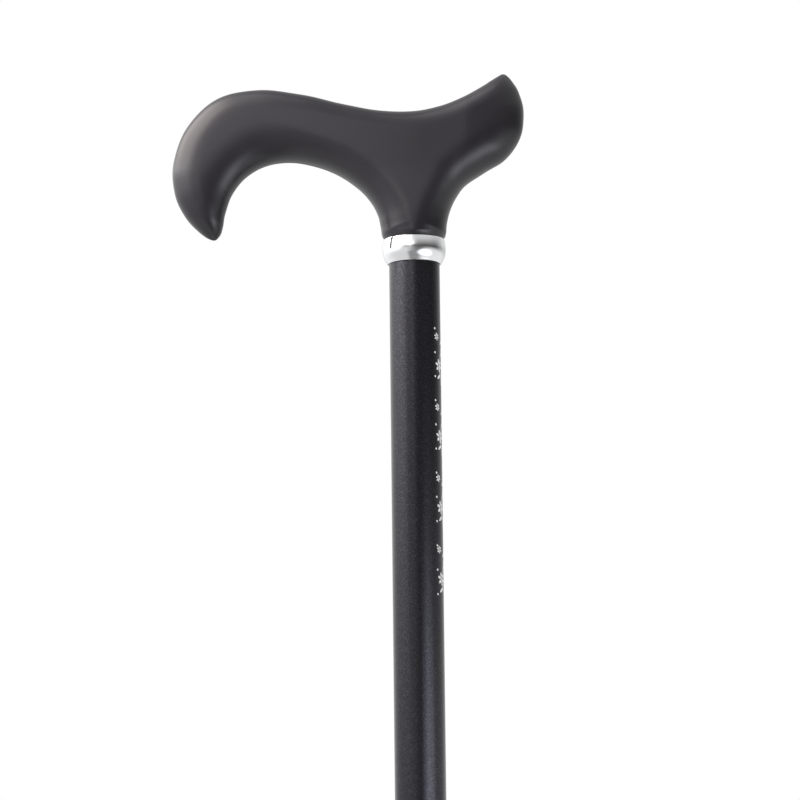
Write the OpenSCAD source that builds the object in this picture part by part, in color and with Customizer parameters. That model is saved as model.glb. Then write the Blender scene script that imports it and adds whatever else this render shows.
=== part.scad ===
// Quad walking cane with a derby handle and a height that is set by a snap button.
// Millimetres, +Z up. The origin is on the floor, on the axis of the shaft.
// The handle's nose points to -X, and the snap button faces -Y.
// The cane stands at its lowest height setting.

/* [Handle] */
// Length of the handle, from the nose to the end of the tail
handle_len = 159; // [150:1:170]
// Thickness of the grip across the palm
grip_thick = 27; // [25:0.5:29]
// Height of the bottom of the handle's neck above the floor
neck_z = 690; // [670:5:760]

/* [Collar] */
// Largest diameter of the collar
collar_d = 28.3; // [27:0.1:29]
// Height of the collar
collar_h = 11.4; // [9:0.2:14]

/* [Shaft] */
// Outer diameter of the upper tube
tube_d = 22.7; // [22:0.1:23]
// Wall of both tubes
tube_wall = 1.2; // [1:0.1:1.5]
// Distance between two height holes
hole_pitch = 25; // [20:1:25]
// Number of height holes
hole_count = 7; // [4:1:7]

/* [Lock ring] */
// Diameter over the ribs of the lock ring
lock_d = 34; // [33:0.5:38]
// Number of ribs round the lock ring
lock_ribs = 20; // [12:1:24]

/* [Base] */
// Distance of a foot from the shaft, sideways along the handle
foot_x = 92; // [85:1:105]
// Distance of a foot from the shaft, across the handle
foot_y = 62; // [60:1:75]
// Outer diameter of a leg
leg_d = 16; // [14:0.5:16]
// Radius of the bend in a leg
leg_bend_r = 52; // [40:1:60]

/* [Tips] */
// Diameter of the sole of a rubber tip
tip_d = 34; // [31:1:40]
// Height of a rubber tip
tip_h = 38; // [34:1:42]

/* [Hidden] */
$fn = 64;
eps = 1;

// Colours
grip_black = "#46464a";
tube_black = "#3a3a3e";
frame_black = "#2b2b2d";
rubber_grey = "#4a4a4c";
nylon_grey = "#8a8a86";
steel_grey = "#b9bcc0";

// Shaft
tube_r = tube_d / 2;
tube_bore_r = tube_r - tube_wall;
slide_gap = 0.3;
low_r = tube_bore_r - slide_gap;
low_bore_r = low_r - tube_wall;
fit_gap = 0.1;

// Legs
foot_rho = norm([foot_x, foot_y]);
foot_turn = atan2(foot_y, foot_x);
leg_r = leg_d / 2;
leg_wall = 1.5;
bend_rho = foot_rho - leg_bend_r;
bend_z = tip_h + 2;
tip_r = tip_d / 2;
tip_floor = 8;
disc_h = 1.2;
leg_z0 = tip_floor + disc_h;

// Base hub, from the floor up
hub_r = 15;
hub_h = 70;
hub_below_legs = 28;
hub_z0 = bend_z + leg_bend_r - hub_below_legs;
hub_top = hub_z0 + hub_h;
hub_bore_r = low_r + fit_gap;
hub_lip = 1.2;
hub_lip_h = 4;
hub_chamfer = 1;
plug_flange_h = 3;
plug_h = 12;
plug_taper = 1.5;
low_z0 = hub_z0 + plug_h;
bolt_z = hub_top - 18;
bolt_r = 3;
bolt_hole_r = 3.2;
boss_r = 8;
boss_y = hub_r + 2.5;
washer_r = 6.4;
washer_h = 1.2;
bolt_head_flats = 10;
bolt_head_h = 4;
nut_h = 5;
nut_dome_r = 4.6;

// Lock sleeve and ring, from the lower end of the upper tube
lock_z0 = hub_top + 8;
ring_h = 46;
ring_lip_h = 3;
finger_z0 = lock_z0 + ring_lip_h + 3;
finger_h = 18;
tube_stop_h = 2;
tube_z0 = finger_z0 + finger_h + tube_stop_h;
sleeve_cup_h = 26;
sleeve_r = tube_r + 2.2;
finger_r = sleeve_r - 1.8;
finger_slots = 6;
slot_w = 1.6;
run_gap = 0.3;
lip_gap = 0.4;
rib_r = 2;
rib_margin = 7;

// Height holes and snap button
button_r = 3.5;
hole_r = button_r + run_gap;
first_hole_rise = 47;
first_hole_z = tube_z0 + first_hole_rise;
button_z = first_hole_z + hole_pitch * (hole_count - 1);
button_out = 3.2;
button_dome_h = 2;
flange_r = 4.4;
flange_h = 0.8;
leaf_t = 0.7;
leaf_w = 8;
leaf_gap = 0.05;
leaf_bend_r = 2;
leaf_h = 48;
leaf_tail = 8;
leaf_back_y = sqrt(low_bore_r * low_bore_r - leaf_w * leaf_w / 4) - 0.2;
flange_y = sqrt(low_bore_r * low_bore_r - flange_r * flange_r) - run_gap - flange_h;

// Lower tube and its guide
low_above_button = 85;
low_top = button_z + low_above_button;
guide_head_h = 6;
guide_plug_h = 16;
guide_wall = 2;
guide_chamfer = 1;
guide_r = tube_bore_r - fit_gap;

// Handle core, pin and collar
core_stem_r = 9;
core_bar_r = 6;
core_bar_z = 49;
core_bar_left = -80;
core_bar_right = 33;
spigot_h = 50;
spigot_bore_r = 6;
spigot_roof = 12;
pin_r = 1.5;
pin_sunk = 0.5;
pin_z = neck_z - collar_h / 2;
collar_z0 = neck_z - collar_h;

// Outline of the handle in its middle plane, as points that a smooth curve passes through.
// Z is measured from the bottom of the neck, for a handle of the reference length.
ref_len = 159;
nose_tip = [-90.4, 0.6];
tail_tip = [41.2, 75.8];
top_mid = [0, 58.7];
left_mid = [-24.5, 23.3];
right_mid = [23.5, 24.6];
// Outer side of the nose and the palm rest, from the nose tip to the middle of the top
nose_top = [
    [-96, 3.8], [-103, 11.5], [-107.6, 22], [-108.2, 36], [-102, 52.5],
    [-88.5, 65.4], [-70, 69.4], [-50, 67], [-31, 62.3], [-15, 59.2]
];
// Finger arch, from the middle of the left fillet to the nose tip
arch = [
    [-33.5, 29.8], [-44, 34.1], [-55.5, 36.1], [-66.5, 34.5], [-75.4, 29.4],
    [-81.6, 21.7], [-84.8, 13], [-86, 6.5], [-87.4, 2.6]
];
// Neck, from its bottom edge up to the fillets
neck_left = [[-13.4, 0], [-14.4, 2], [-15, 6], [-16.2, 11.3], [-19.2, 17.2]];
neck_right = [[19.2, 19], [16.5, 13.3], [15, 7.6], [14.4, 2.4], [13.4, 0]];
// Tail, along the top to its tip and back along its end and underside
tail_top = [[12, 60.9], [22, 64.7], [30.5, 69.3], [36.6, 73.3], [39.6, 75.2]];
tail_under = [
    [42.9, 74.9], [45.2, 72.2], [48.2, 66.9], [50.2, 58], [48.6, 46.5], [42, 36.7], [32, 30.3]
];

handle_k = handle_len / ref_len;
outline_inner = concat(
    neck_left, [left_mid], arch, [nose_tip], nose_top, [top_mid],
    tail_top, [tail_tip], tail_under, [right_mid], neck_right
);
last_inner = len(outline_inner) - 1;
before_first = 2 * outline_inner[0] - outline_inner[1];
after_last = 2 * outline_inner[last_inner] - outline_inner[last_inner - 1];
outline = handle_k * concat([before_first], outline_inner, [after_last]);

// Places of the named points along the outline
u_start = 1;
u_left = u_start + len(neck_left);
u_nose = u_left + len(arch) + 1;
u_top = u_nose + len(nose_top) + 1;
u_tail = u_top + len(tail_top) + 1;
u_right = u_tail + len(tail_under) + 1;
u_end = u_right + len(neck_right);

// Smooth curve through the outline's points: two parabolas, each through three points, are blended
function parabola(a, b, c, t) = b + (c - a) * t / 2 + (a - 2 * b + c) * t * t / 2;
function smooth(t) = let (s = max(0, min(1, t))) s * s * (3 - 2 * s);
function outline_at(u) =
    let (i = min(floor(u), u_end - 1), t = u - i, s = smooth(t))
    (1 - s) * parabola(outline[i - 1], outline[i], outline[i + 1], t)
    + s * parabola(outline[i], outline[i + 1], outline[i + 2], t - 1);

// Distance from a point to a stretch of the outline
curve_steps = 4;
function stretch(u0, u1) = [for (k = [0 : (u1 - u0) * curve_steps]) outline_at(u0 + k / curve_steps)];
function line_dist(p, a, b) =
    let (ab = b - a, t = max(0, min(1, (p - a) * ab / (ab * ab))))
    norm(p - a - t * ab);
function curve_dist(p, line) = min([for (i = [0 : len(line) - 2]) line_dist(p, line[i], line[i + 1])]);
arch_line = stretch(u_start, u_nose);
top_line = stretch(u_nose, u_tail);
tail_line = stretch(u_tail, u_end);

// Half thickness of the handle at a point of its middle plane. Every edge is rounded like an
// ellipse: briefly along the palm, more round the nose and deeply where the fingers close,
// where the rounding also ends more softly. The neck comes out round.
neck_r = 14.4 * handle_k;
grip_half = grip_thick / 2;
palm_edge = 8.5;
nose_edge = 12.5;
nose_edge_x = -40;
nose_edge_run = 50;
arch_edge = 14.5;
hook_edge = 21;
hook_x = -38;
hook_run = 35;
tail_edge = 18.5;
tail_edge_run = 20;
edge_softer = 0.8;
neck_round_z = 8;
neck_blend_h = 25;
nose_clear_x = -45;
nose_clear_run = 20;
function above_neck(p) =
    max(smooth((p[1] - neck_round_z) / neck_blend_h), smooth((nose_clear_x - p[0]) / nose_clear_run));
function palm_depth(p) = palm_edge + (nose_edge - palm_edge) * smooth((nose_edge_x - p[0]) / nose_edge_run);
function finger_edge(p) =
    arch_edge + (hook_edge - arch_edge) * smooth((hook_x - p[0]) / hook_run)
    + (tail_edge - arch_edge) * smooth(p[0] / tail_edge_run);
function finger_depth(p) = neck_r + (finger_edge(p) - neck_r) * above_neck(p);
function finger_power(p) = 2 + edge_softer * above_neck(p);
function rounded(d, depth, power) = sqrt(1 - pow(1 - min(d / depth, 1), power));

// The grip is thickest above the shaft and slims towards the nose and the tail.
// The neck's bottom rim is rolled in.
nose_from = 5;
nose_run = 113;
tail_from = 23;
tail_run = 27;
end_slim = 3.2;
soft_start = 0.2;
rim_h = 2.5;
rim_in = 1;
function slimming(t) = let (s = max(0, min(1, t))) (1 + soft_start) * s * s / (s + soft_start);
function side_half(p) =
    neck_r - (neck_r - grip_half) * above_neck(p)
    - end_slim * slimming((nose_from - p[0]) / nose_run)
    - end_slim * slimming((p[0] - tail_from) / tail_run)
    - rim_in * pow(max(0, 1 - p[1] / rim_h), 2);
function half_at(p) =
    side_half(p) * rounded(curve_dist(p, top_line), palm_depth(p), 2)
    * rounded(curve_dist(p, arch_line), finger_depth(p), finger_power(p))
    * rounded(curve_dist(p, tail_line), finger_depth(p), finger_power(p));

// The three arms of the handle meet at one point. Each arm is a grid: stations along it,
// and across each station points from one edge through the arm's middle to the other edge.
across = 10;
nose_stations = 36;
tail_stations = 28;
neck_stations = 14;
mid_point = (outline_at(u_top) + outline_at(u_left) + outline_at(u_right)) / 3;
function lean(v) = 1 - cos(90 * v / across);
function station(a, b, k, n) =
    let (mid = (a + b) / 2, m = k == n ? mid_point : mid + (mid_point - mid) * pow(k / n, 4))
    concat(
        [[a[0], 0, a[1]]],
        [for (v = [1 : across]) let (p = v == across ? m : a + (m - a) * lean(v)) [p[0], half_at(p), p[1]]],
        [for (v = [across - 1 : -1 : 1]) let (p = b + (m - b) * lean(v)) [p[0], half_at(p), p[1]]],
        [[b[0], 0, b[1]]]
    );
function arm(u_a0, u_a1, u_b0, u_b1, n) = [
    for (k = [0 : n])
        station(outline_at(u_a0 + (u_a1 - u_a0) * k / n), outline_at(u_b0 + (u_b1 - u_b0) * k / n), k, n)
];

// Triangles of one arm, front and back. Those that shrink to a line are left out.
function flip(p) = [p[0], -p[1], p[2]];
function whole(t) = t[0] != t[1] && t[1] != t[2] && t[2] != t[0];
function arm_sheet(g) = [
    for (k = [0 : len(g) - 2])
        for (c = [0 : len(g[0]) - 2])
            for (t = [[g[k][c], g[k][c + 1], g[k + 1][c + 1]], [g[k][c], g[k + 1][c + 1], g[k + 1][c]]])
                if (whole(t)) t
];
function both_sides(sheet) = concat(sheet, [for (t = sheet) [flip(t[0]), flip(t[2]), flip(t[1])]]);
function cap(row) = [
    for (c = [0 : len(row) - 2])
        for (t = [[row[c], flip(row[c]), flip(row[c + 1])], [row[c], flip(row[c + 1]), row[c + 1]]])
            if (whole(t)) t
];

module handle_skin() {
    nose = arm(u_nose, u_top, u_nose, u_left, nose_stations);
    tail = arm(u_tail, u_right, u_tail, u_top, tail_stations);
    neck = arm(u_start, u_left, u_end, u_right, neck_stations);
    triangles = concat(
        both_sides(arm_sheet(nose)), both_sides(arm_sheet(tail)), both_sides(arm_sheet(neck)), cap(neck[0])
    );
    polyhedron(
        points = [for (t = triangles) each t],
        faces = [for (i = [0 : len(triangles) - 1]) [3 * i, 3 * i + 1, 3 * i + 2]],
        convexity = 6
    );
}

// Straight bar along X with round ends, inside the grip
module core_bar() {
    bar_z = core_bar_z * handle_k;
    bar_left = core_bar_left * handle_k;
    bar_right = core_bar_right * handle_k;
    translate([bar_left, 0, bar_z]) rotate([0, 90, 0]) cylinder(r = core_bar_r, h = bar_right - bar_left);
    translate([bar_left, 0, bar_z]) sphere(r = core_bar_r);
    translate([bar_right, 0, bar_z]) sphere(r = core_bar_r);
}

module core_inside_grip() {
    cylinder(r = core_stem_r, h = core_bar_z * handle_k);
    core_bar();
}

module handle_grip() {
    color(grip_black) translate([0, 0, neck_z]) difference() {
        handle_skin();
        core_inside_grip();
        translate([0, 0, -eps]) cylinder(r = core_stem_r, h = 2 * eps);
    }
}

module handle_core() {
    color(nylon_grey) difference() {
        union() {
            translate([0, 0, neck_z]) core_inside_grip();
            translate([0, 0, neck_z - spigot_h]) cylinder(r = tube_bore_r, h = spigot_h);
        }
        translate([0, 0, neck_z - spigot_h - eps])
            cylinder(r = spigot_bore_r, h = spigot_h - spigot_roof + eps);
        cross_hole(pin_r, tube_d, pin_z);
    }
}

// Cylinder along Y, centred on the shaft
module cross_hole(r, length, z) {
    translate([0, length / 2, z]) rotate([90, 0, 0]) cylinder(r = r, h = length);
}

module handle_pin() {
    color(steel_grey) cross_hole(pin_r, tube_d - 2 * pin_sunk, pin_z);
}

// Barrel-shaped ring, widest above its middle and rounder below it than above
module collar() {
    low_bulge_r = 10.5;
    high_bulge_r = 23;
    bulge_z = 0.57 * collar_h;
    low_rim = 0.8;
    high_rim = 0.4;
    edge = 0.5;
    low_edge = asin((bulge_z - low_rim) / low_bulge_r);
    high_edge = asin((collar_h - high_rim - bulge_z) / high_bulge_r);
    low_steps = 16;
    high_steps = 8;
    function bulge(a, r) = [collar_d / 2 - r * (1 - cos(a)), bulge_z + r * sin(a)];
    outer = concat(
        [for (k = [0 : low_steps]) bulge(low_edge * (k / low_steps - 1), low_bulge_r)],
        [for (k = [1 : high_steps]) bulge(high_edge * k / high_steps, high_bulge_r)]
    );
    last = len(outer) - 1;
    profile = concat(
        [[tube_r, 0], [outer[0][0] - edge, 0]],
        outer,
        [[outer[last][0] - edge, collar_h], [tube_r, collar_h]]
    );
    color(steel_grey) translate([0, 0, collar_z0]) rotate_extrude() polygon(profile);
}

module pipe(r, wall, z0, z1) {
    difference() {
        translate([0, 0, z0]) cylinder(r = r, h = z1 - z0);
        translate([0, 0, z0 - eps]) cylinder(r = r - wall, h = z1 - z0 + 2 * eps);
    }
}

// Hole through the front wall of a tube
module front_hole(r, z) {
    translate([0, 0, z]) rotate([90, 0, 0]) cylinder(r = r, h = tube_d);
}

module upper_tube() {
    color(tube_black) difference() {
        pipe(tube_r, tube_wall, tube_z0, neck_z);
        for (k = [0 : hole_count - 1]) front_hole(hole_r, first_hole_z + k * hole_pitch);
        cross_hole(pin_r, tube_d + 2 * eps, pin_z);
    }
}

// Cup round the end of the upper tube, with split fingers below it
module lock_sleeve() {
    cup_top = tube_z0 + sleeve_cup_h;
    lead_in = 0.6;
    lead_in_h = 4;
    shoulder_h = 2;
    chamfer = 1;
    profile = [
        [low_r + fit_gap, finger_z0], [finger_r - lead_in, finger_z0], [finger_r, finger_z0 + lead_in_h],
        [finger_r, finger_z0 + finger_h - shoulder_h], [sleeve_r, finger_z0 + finger_h],
        [sleeve_r, cup_top - chamfer], [sleeve_r - chamfer, cup_top], [tube_r, cup_top],
        [tube_r, tube_z0], [low_r + fit_gap, tube_z0]
    ];
    color(nylon_grey) difference() {
        rotate_extrude() polygon(profile);
        for (k = [0 : finger_slots / 2 - 1])
            rotate(k * 360 / finger_slots)
                translate([-tube_d, -slot_w / 2, finger_z0 - eps])
                    cube([2 * tube_d, slot_w, finger_h - 2 * shoulder_h + eps]);
    }
}

// Ribbed ring round the sleeve, with a lip below the fingers
module lock_ring() {
    ring_top = lock_z0 + ring_h;
    ring_r = lock_d / 2;
    bore_r = sleeve_r + run_gap;
    finger_bore_r = finger_r + run_gap;
    step_z = finger_z0 + finger_h - 2;
    low_taper = [2.5, 5];
    high_taper = [1.8, 3];
    bore_taper_h = 3;
    rib_sink = 0.45;
    profile = [
        [low_r + lip_gap, lock_z0], [ring_r - low_taper[0], lock_z0], [ring_r, lock_z0 + low_taper[1]],
        [ring_r, ring_top - high_taper[1]], [ring_r - high_taper[0], ring_top], [bore_r, ring_top],
        [bore_r, step_z], [finger_bore_r, step_z - bore_taper_h], [finger_bore_r, lock_z0 + ring_lip_h],
        [low_r + lip_gap, lock_z0 + ring_lip_h]
    ];
    color(frame_black) difference() {
        rotate_extrude() polygon(profile);
        for (k = [0 : lock_ribs - 1])
            rotate((k + 0.5) * 360 / lock_ribs)
                translate([ring_r + rib_r * rib_sink, 0, lock_z0 + rib_margin])
                    cylinder(r = rib_r, h = ring_h - 2 * rib_margin, $fn = 32);
    }
}

module lower_tube() {
    color(steel_grey) difference() {
        pipe(low_r, tube_wall, low_z0, low_top);
        front_hole(hole_r, button_z);
        cross_hole(bolt_hole_r, tube_d + 2 * eps, bolt_z);
    }
}

module tube_guide() {
    color(nylon_grey) difference() {
        union() {
            translate([0, 0, low_top - guide_plug_h]) cylinder(r = low_bore_r, h = guide_plug_h);
            translate([0, 0, low_top]) cylinder(r = guide_r, h = guide_head_h - guide_chamfer);
            translate([0, 0, low_top + guide_head_h - guide_chamfer])
                cylinder(r1 = guide_r, r2 = guide_r - guide_chamfer, h = guide_chamfer);
        }
        translate([0, 0, low_top - guide_plug_h - eps])
            cylinder(r = low_bore_r - guide_wall, h = guide_plug_h);
    }
}

// Domed pin with a flange that rests on the leaf spring
module height_button() {
    dome_r = (button_r * button_r + button_dome_h * button_dome_h) / (2 * button_dome_h);
    top = tube_r + button_out;
    color(steel_grey) translate([0, 0, button_z]) rotate([90, 0, 0]) {
        translate([0, 0, flange_y]) cylinder(r = flange_r, h = flange_h);
        translate([0, 0, flange_y]) cylinder(r = button_r, h = top - button_dome_h - flange_y);
        intersection() {
            translate([0, 0, top - dome_r]) sphere(r = dome_r);
            translate([0, 0, top - button_dome_h]) cylinder(r = button_r, h = button_dome_h + eps);
        }
    }
}

// Leaf bent into a V: the back arm lies on the tube's wall, the front arm carries the button
module button_spring() {
    outer_r = leaf_bend_r + leaf_t;
    mid_r = leaf_bend_r + leaf_t / 2;
    clear = 2 * outer_r;
    bend_y = leaf_back_y - outer_r;
    front_y = -flange_y + leaf_gap + leaf_t / 2;
    reach_y = bend_y - front_y;
    reach_z = leaf_h - leaf_tail;
    tilt = atan2(reach_y, reach_z) - asin(mid_r / norm([reach_y, reach_z]));
    arm_len = sqrt(reach_y * reach_y + reach_z * reach_z - mid_r * mid_r);
    color(steel_grey) translate([0, 0, button_z]) rotate([90, 0, 90])
        linear_extrude(height = leaf_w, center = true) {
            translate([bend_y, leaf_h]) {
                difference() {
                    circle(r = outer_r);
                    circle(r = leaf_bend_r);
                    translate([-eps, -clear]) square(clear);
                    rotate(-tilt) translate([-clear, -clear]) square(clear);
                }
                translate([leaf_bend_r, -leaf_h - leaf_tail]) square([leaf_t, leaf_h + leaf_tail]);
                rotate(-tilt) translate([-outer_r, -arm_len]) square([leaf_t, arm_len]);
            }
            translate([front_y, leaf_tail]) circle(d = leaf_t);
            translate([front_y - leaf_t / 2, -leaf_tail]) square([leaf_t, 2 * leaf_tail]);
        }
}

module hub() {
    lip_r = hub_r + hub_lip;
    color(frame_black) difference() {
        union() {
            translate([0, 0, hub_z0]) cylinder(r = hub_r, h = hub_h);
            translate([0, 0, hub_top - hub_lip_h]) cylinder(r = lip_r, h = hub_lip_h - hub_chamfer);
            translate([0, 0, hub_top - hub_chamfer])
                cylinder(r1 = lip_r, r2 = lip_r - hub_chamfer, h = hub_chamfer);
            cross_hole(boss_r, 2 * boss_y, bolt_z);
        }
        translate([0, 0, hub_z0 - eps]) cylinder(r = hub_bore_r, h = hub_h + 2 * eps);
        cross_hole(bolt_hole_r, 2 * boss_y + 2 * eps, bolt_z);
    }
}

module hub_plug() {
    color(frame_black) {
        translate([0, 0, hub_z0]) cylinder(r = hub_bore_r, h = plug_h);
        translate([0, 0, hub_z0 - plug_flange_h])
            cylinder(r1 = hub_r - plug_taper, r2 = hub_r, h = plug_flange_h);
    }
}

// Solid of revolution round the bolt's axis, at a distance along -Y from the shaft
module on_bolt(y) {
    translate([0, -y, bolt_z]) rotate([90, 0, 0]) children();
}

module base_bolt() {
    hex_r = bolt_head_flats / 2 / cos(30);
    seat = boss_y + washer_h;
    color(steel_grey) {
        on_bolt(seat) cylinder(r = hex_r, h = bolt_head_h, $fn = 6);
        on_bolt(-seat - nut_h) cylinder(r = bolt_r, h = 2 * seat + nut_h);
    }
}

module base_washers() {
    color(steel_grey) for (y = [boss_y, -boss_y - washer_h]) on_bolt(y) difference() {
        cylinder(r = washer_r, h = washer_h);
        translate([0, 0, -eps]) cylinder(r = bolt_hole_r, h = washer_h + 2 * eps);
    }
}

// Domed cap nut
module base_nut() {
    hex_r = bolt_head_flats / 2 / cos(30);
    seat = boss_y + washer_h;
    color(steel_grey) difference() {
        union() {
            on_bolt(-seat - nut_h) cylinder(r = hex_r, h = nut_h, $fn = 6);
            intersection() {
                on_bolt(-seat - nut_h) sphere(r = nut_dome_r);
                on_bolt(-seat - nut_h - nut_dome_r - eps)
                    cylinder(r = nut_dome_r + eps, h = nut_dome_r + 2 * eps);
            }
        }
        on_bolt(-seat - nut_h) cylinder(r = bolt_r, h = nut_h + eps);
    }
}

// Section of a leg's tube
module leg_section() {
    difference() {
        circle(r = leg_r);
        circle(r = leg_r - leg_wall);
    }
}

// Bent tube: out from the hub, round the bend and down into the tip
module leg(turn) {
    drop = bend_z - leg_z0;
    run = bend_rho - hub_r / 2;
    color(frame_black) difference() {
        rotate(turn) translate([bend_rho, 0, bend_z]) {
            rotate([90, 0, 0]) rotate_extrude(angle = 90) translate([leg_bend_r, 0]) leg_section();
            translate([leg_bend_r, 0, -drop]) linear_extrude(height = drop) leg_section();
            translate([-run, 0, leg_bend_r]) rotate([0, 90, 0]) linear_extrude(height = run) leg_section();
        }
        translate([0, 0, hub_z0]) cylinder(r = hub_r, h = hub_h);
    }
}

// Rubber tip: a grooved sole, a waisted flank and a beaded rim round the leg
module tip(x, y) {
    body_r = leg_r + 3.4;
    groove = 1.5;
    ridge_in = 5;
    ridge_out = 8;
    sole_in = 11.5;
    sole_edge = 1.2;
    bead_h = 5;
    bead_out = 1.2;
    rim_taper = 0.6;
    flank_z0 = 4.5;
    flank_h = 12;
    steps = 10;
    flank = [
        for (k = [0 : steps])
            let (a = 90 * k / steps)
            [tip_r - (tip_r - body_r) * sin(a), flank_z0 + flank_h * (1 - cos(a))]
    ];
    bead_z = tip_h - bead_h - 1;
    bead = [
        for (k = [0 : steps])
            let (a = 180 * k / steps)
            [body_r + bead_out * sin(a), bead_z + bead_h / 2 * (1 - cos(a))]
    ];
    profile = concat(
        [[0, groove], [ridge_in, groove], [ridge_in, 0], [ridge_out, 0], [ridge_out, groove]],
        [[sole_in, groove], [sole_in, 0], [tip_r - sole_edge, 0], [tip_r, sole_edge]],
        flank, bead,
        [[body_r - rim_taper, tip_h], [leg_r, tip_h], [leg_r, tip_floor], [0, tip_floor]]
    );
    color(rubber_grey) translate([x, y, 0]) rotate_extrude() polygon(profile);
}

module tip_washers() {
    color(steel_grey) for (x = [-foot_x, foot_x], y = [-foot_y, foot_y])
        translate([x, y, tip_floor]) cylinder(r = leg_r - fit_gap, h = disc_h);
}

handle_grip();
handle_core();
handle_pin();
collar();
upper_tube();
lock_sleeve();
lock_ring();
lower_tube();
tube_guide();
height_button();
button_spring();
hub();
hub_plug();
base_bolt();
base_washers();
base_nut();
leg(180 + foot_turn);  // leg_front_left
leg(-foot_turn);  // leg_front_right
leg(180 - foot_turn);  // leg_rear_left
leg(foot_turn);  // leg_rear_right
tip(-foot_x, -foot_y);  // tip_front_left
tip(foot_x, -foot_y);  // tip_front_right
tip(-foot_x, foot_y);  // tip_rear_left
tip(foot_x, foot_y);  // tip_rear_right
tip_washers();
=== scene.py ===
# %% [markdown]
# # A quad walking cane with a derby handle
#
# This lesson dresses a cane that already exists as a set of solids: tubes, legs, a lock and a
# handle, each at its real place. We keep those solids as a fixed frame and add what makes the
# cane look real: the flowing surface of the handle, a polished collar, a little print on the
# tube, a spring that bends, weld seams at the legs, and a finish for every surface.

# %% Load the frame
import math

import bmesh
import bpy
import numpy as np
from mathutils import Matrix, Vector


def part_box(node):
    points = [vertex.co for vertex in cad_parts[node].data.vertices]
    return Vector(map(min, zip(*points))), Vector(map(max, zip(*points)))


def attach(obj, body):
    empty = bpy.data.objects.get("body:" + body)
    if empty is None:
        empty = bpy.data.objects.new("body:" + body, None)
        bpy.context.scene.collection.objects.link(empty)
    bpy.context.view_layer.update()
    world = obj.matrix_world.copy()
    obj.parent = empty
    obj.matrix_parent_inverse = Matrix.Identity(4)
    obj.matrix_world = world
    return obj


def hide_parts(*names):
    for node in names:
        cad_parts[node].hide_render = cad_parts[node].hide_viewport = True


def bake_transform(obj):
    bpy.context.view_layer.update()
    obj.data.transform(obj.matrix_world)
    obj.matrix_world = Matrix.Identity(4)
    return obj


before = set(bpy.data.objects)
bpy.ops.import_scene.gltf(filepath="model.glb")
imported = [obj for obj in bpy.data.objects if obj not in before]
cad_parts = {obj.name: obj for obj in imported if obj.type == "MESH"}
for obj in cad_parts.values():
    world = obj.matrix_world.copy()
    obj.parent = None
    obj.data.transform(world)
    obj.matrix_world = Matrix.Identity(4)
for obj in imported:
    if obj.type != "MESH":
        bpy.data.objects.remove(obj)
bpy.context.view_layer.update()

# %% [markdown]
# ## Sizes from the frame
#
# Every new piece has to sit on the solids, so its sizes are read from them instead of being
# typed again. A box has a lowest and a highest corner, which is all we need for round parts.

# %% Read the sizes
MM = 0.001


def radius_of(node):
    """Half of a node's width along X."""
    low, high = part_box(node)
    return (high.x - low.x) / 2


TUBE_R = radius_of("upper_tube")
NECK_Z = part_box("upper_tube")[1].z
COLLAR_R = radius_of("collar")
COLLAR_LOW_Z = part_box("collar")[0].z
HUB_R = radius_of("hub_plug")
print("tube radius", round(TUBE_R / MM, 2), "mm, neck at", round(NECK_Z / MM, 1), "mm")

# %% [markdown]
# ## Colours
#
# Colours are easiest to note as the hex codes that a paint program shows. Blender's shaders
# work in linear light, where half as bright is half the number, so one function converts them.

# %% Colours


def colour(code):
    """sRGB hex code to linear red, green, blue and alpha: the standard two-part sRGB curve."""
    parts = np.array([int(code[i:i + 2], 16) / 255 for i in (1, 3, 5)])
    linear = np.where(parts <= 0.04045, parts / 12.92, ((parts + 0.055) / 1.055) ** 2.4)
    return (*linear.tolist(), 1.0)


print("middle grey in linear light", round(colour("#808080")[0], 3))

# %% [markdown]
# ## Shader nodes
#
# A finish is a small network of nodes. It could be wired by hand in the shader editor. In a
# script one function adds a node: settings go in by name, and a socket is either given a value
# or linked to another node's output.

# %% Shader nodes


def add(tree, kind, sockets=(), **settings):
    """Adds a node of a kind. Sockets maps an input's name or number to a value or to an output."""
    node = tree.nodes.new(kind)
    for name, value in settings.items():
        setattr(node, name, value)
    for key, value in dict(sockets).items():
        if isinstance(value, bpy.types.NodeSocket):
            tree.links.new(value, node.inputs[key])
        else:
            node.inputs[key].default_value = value
    return node


def start_finish(name, **constants):
    """A new material with one Principled shader. Constants set the shader's own sockets."""
    material = bpy.data.materials.new(name)
    material.use_nodes = True
    shader = material.node_tree.nodes["Principled BSDF"]
    for socket, value in constants.items():
        shader.inputs[socket.replace("_", " ")].default_value = value
    return material, material.node_tree, shader


def colour_steps(tree, factor, *stops):
    """A colour ramp over factor. Stops are pairs of a position and a hex code."""
    ramp = add(tree, "ShaderNodeValToRGB", {"Fac": factor})
    points = ramp.color_ramp.elements
    while len(points) < len(stops):
        points.new(0.5)
    for point, (position, code) in zip(points, stops):
        point.position = position
        point.color = colour(code)
    return ramp.outputs["Color"]


def per_metre(size_mm):
    """Texture scale at which one feature of a noise is about size_mm across."""
    return 1 / (size_mm * MM)


print("noise of 20 mm has a scale of", round(per_metre(20)))

# %% [markdown]
# ## Finish: soft-touch lacquer
#
# The handle is moulded nylon under a thin soft-touch lacquer. It feels like peach skin: almost
# black, with a broad, dull shine instead of sharp reflections. A noise of about half a
# millimetre gives the lacquer its very fine pebble, and a slow noise of about 20 mm keeps the
# colour from being perfectly even, as handling leaves it.

# %% Soft-touch lacquer on the handle


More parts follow.
